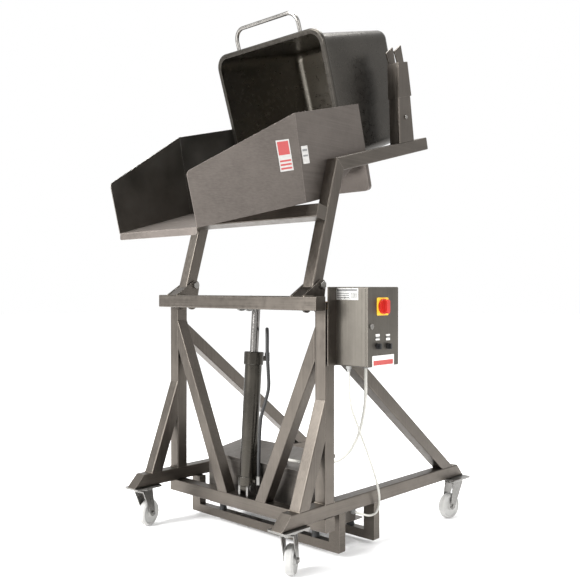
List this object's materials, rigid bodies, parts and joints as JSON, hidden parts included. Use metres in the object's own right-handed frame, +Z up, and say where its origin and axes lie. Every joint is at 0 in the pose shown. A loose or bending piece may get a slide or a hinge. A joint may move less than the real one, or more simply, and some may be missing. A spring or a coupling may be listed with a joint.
{
  "type": "mobile bin tipper",
  "caption": "Stainless mobile hydraulic tipper that lifts a meat bin and empties it over a discharge chute, with ram, power pack, control box and swivel castors.",
  "frame": {"origin": "middle of the floor area under the machine, at floor level, cables left out", "axes": "+Z up; +X from the discharge chute towards the loading side; +Y across the machine, away from the control box"},
  "size_m": [1.614, 1.2964, 2.4598],
  "materials": {
    "steel_frame": "satin stainless tube, glass-bead blasted",
    "steel_sheet": "satin stainless sheet",
    "steel_bin": "brushed stainless, brighter at the rolled rim",
    "steel_bright": "hard-chromed rod and pins",
    "cylinder_paint": "black enamel",
    "box_paint": "satin grey-brown stainless look",
    "nylon_wheel": "white nylon",
    "rubber": "black rubber",
    "cable": "light grey sheath",
    "red_plastic": "red handle",
    "black_plastic": "black",
    "door_trim": "yellow isolator plate; legends and label blank",
    "motor": "grey-blue motor and pump",
    "bush": "bronze bush"
  },
  "bodies": {
    "base": {"side_rails": "steel_frame", "lower_crossbeam": "steel_frame", "posts": "steel_frame", "pivot_bushes": "bush", "side_braces": "steel_frame", "diagonals": "steel_frame", "pack_hangers": "steel_frame", "castor_plates": "steel_frame", "castor_bolts": "steel_bright", "rubber_mounts": "rubber", "pack_tray": "steel_sheet", "oil_tank": "motor", "pump_and_valves": "motor", "pump_motor": "motor", "pack_hood": "steel_sheet", "pack_lid": "steel_sheet", "cylinder_clevis": "steel_frame", "control_bracket": "box_paint", "enclosure": "box_paint", "control_gear": "black_plastic", "door_hinges": "steel_bright", "cable_glands": "black_plastic", "thin_cable": "cable", "thick_cable": "cable"},
    "cradle": {"pivot_shaft": "steel_bright", "torque_beam": "steel_frame", "lugs": "steel_frame", "cradle_bolts": "steel_bright", "lever_plates": "steel_frame", "cradle_arms": "steel_frame", "cradle_rails": "steel_frame", "cradle_crossbeam": "steel_frame", "rest_panel": "steel_sheet", "latch_posts": "steel_frame", "latch_heads": "steel_sheet", "chute_near_side": "steel_sheet", "chute_far_side": "steel_sheet", "chute_floor": "steel_sheet"},
    "bin": {"bin_body": "steel_bin", "bin_handle": "steel_bin"},
    "cylinder": {"cylinder_barrel": "cylinder_paint", "cylinder_gland": "cylinder_paint", "hose_fittings": "steel_bright", "hydraulic_hose": "rubber"},
    "rod": {"piston_rod": "steel_bright"},
    "door": {"control_door": "box_paint", "door_plates": "door_trim"},
    "isolator": {"isolator_knob": "red_plastic"},
    "left_switch": {"left_selector": "black_plastic"},
    "right_switch": {"right_selector": "black_plastic"},
    "lock": {"door_lock": "steel_bright"},
    "front_near_castor": {"front_near_castor_fork": "steel_frame"},
    "front_near_wheel": {"front_near_castor_wheel": "nylon_wheel"},
    "front_far_castor": {"front_far_castor_fork": "steel_frame"},
    "front_far_wheel": {"front_far_castor_wheel": "nylon_wheel"},
    "rear_near_castor": {"rear_near_castor_fork": "steel_frame"},
    "rear_near_wheel": {"rear_near_castor_wheel": "nylon_wheel"},
    "rear_far_castor": {"rear_far_castor_fork": "steel_frame"},
    "rear_far_wheel": {"rear_far_castor_wheel": "nylon_wheel"}
  },
  "joints": [
    {"name": "cradle_tilt", "type": "hinge", "parent": "base", "child": "cradle", "pos_m": [-0.25001, 0.08415, 1.088], "axis": [0, 1, 0], "range_deg": [0, 105]},
    {"name": "bin_lift_off", "type": "slide", "parent": "cradle", "child": "bin", "axis": [-0.309, 0, 0.9511], "range_m": [0, 0.7]},
    {"name": "cylinder_swing", "type": "hinge", "parent": "base", "child": "cylinder", "pos_m": [-0.23501, 0.08415, 0.238], "axis": [0, 1, 0], "range_deg": [-5.42, 0.05]},
    {"name": "rod_stroke", "type": "slide", "parent": "cylinder", "child": "rod", "axis": [0.0691, 0, 0.9976], "range_m": [-0.09493, 0.0005]},
    {"name": "front_near_swivel", "type": "hinge", "parent": "base", "child": "front_near_castor", "pos_m": [-0.46801, -0.40585, 0.184], "axis": [0, 0, 1], "continuous": true},
    {"name": "front_near_roll", "type": "hinge", "parent": "front_near_castor", "child": "front_near_wheel", "pos_m": [-0.43337, -0.38585, 0.0625], "axis": [-0.5, 0.866, 0], "continuous": true},
    {"name": "front_far_swivel", "type": "hinge", "parent": "base", "child": "front_far_castor", "pos_m": [-0.46801, 0.57415, 0.184], "axis": [0, 0, 1], "continuous": true},
    {"name": "front_far_roll", "type": "hinge", "parent": "front_far_castor", "child": "front_far_wheel", "pos_m": [-0.42956, 0.58518, 0.0625], "axis": [-0.2756, 0.9613, 0], "continuous": true},
    {"name": "rear_near_swivel", "type": "hinge", "parent": "base", "child": "rear_near_castor", "pos_m": [0.73199, -0.42785, 0.184], "axis": [0, 0, 1], "continuous": true},
    {"name": "rear_near_roll", "type": "hinge", "parent": "rear_near_castor", "child": "rear_near_wheel", "pos_m": [0.69238, -0.42228, 0.0625], "axis": [-0.1392, -0.9903, 0], "continuous": true},
    {"name": "rear_far_swivel", "type": "hinge", "parent": "base", "child": "rear_far_castor", "pos_m": [0.73199, 0.59615, 0.184], "axis": [0, 0, 1], "continuous": true},
    {"name": "rear_far_roll", "type": "hinge", "parent": "rear_far_castor", "child": "rear_far_wheel", "pos_m": [0.6944, 0.60983, 0.0625], "axis": [-0.342, -0.9397, 0], "continuous": true},
    {"name": "door_swing", "type": "hinge", "parent": "base", "child": "door", "pos_m": [-0.01001, -0.60435, 1.0065], "axis": [0, 0, 1], "range_deg": [0, 110]},
    {"name": "isolator_turn", "type": "hinge", "parent": "door", "child": "isolator", "pos_m": [-0.12701, -0.61585, 1.09], "axis": [0, 1, 0], "range_deg": [-90, 0]},
    {"name": "left_selector_turn", "type": "hinge", "parent": "door", "child": "left_switch", "pos_m": [-0.16101, -0.61585, 0.927], "axis": [0, 1, 0], "range_deg": [-45, 45]},
    {"name": "right_selector_turn", "type": "hinge", "parent": "door", "child": "right_switch", "pos_m": [-0.09001, -0.61585, 0.924], "axis": [0, 1, 0], "range_deg": [-45, 45]},
    {"name": "lock_turn", "type": "hinge", "parent": "door", "child": "lock", "pos_m": [-0.20201, -0.61585, 1.009], "axis": [0, 1, 0], "range_deg": [0, 90]}
  ],
  "couplings": [
    {"joint": "cylinder_swing", "follows": "cradle_tilt", "ratio": -0.051118},
    {"joint": "rod_stroke", "follows": "cradle_tilt", "m_per_rad": -0.051528}
  ]
}
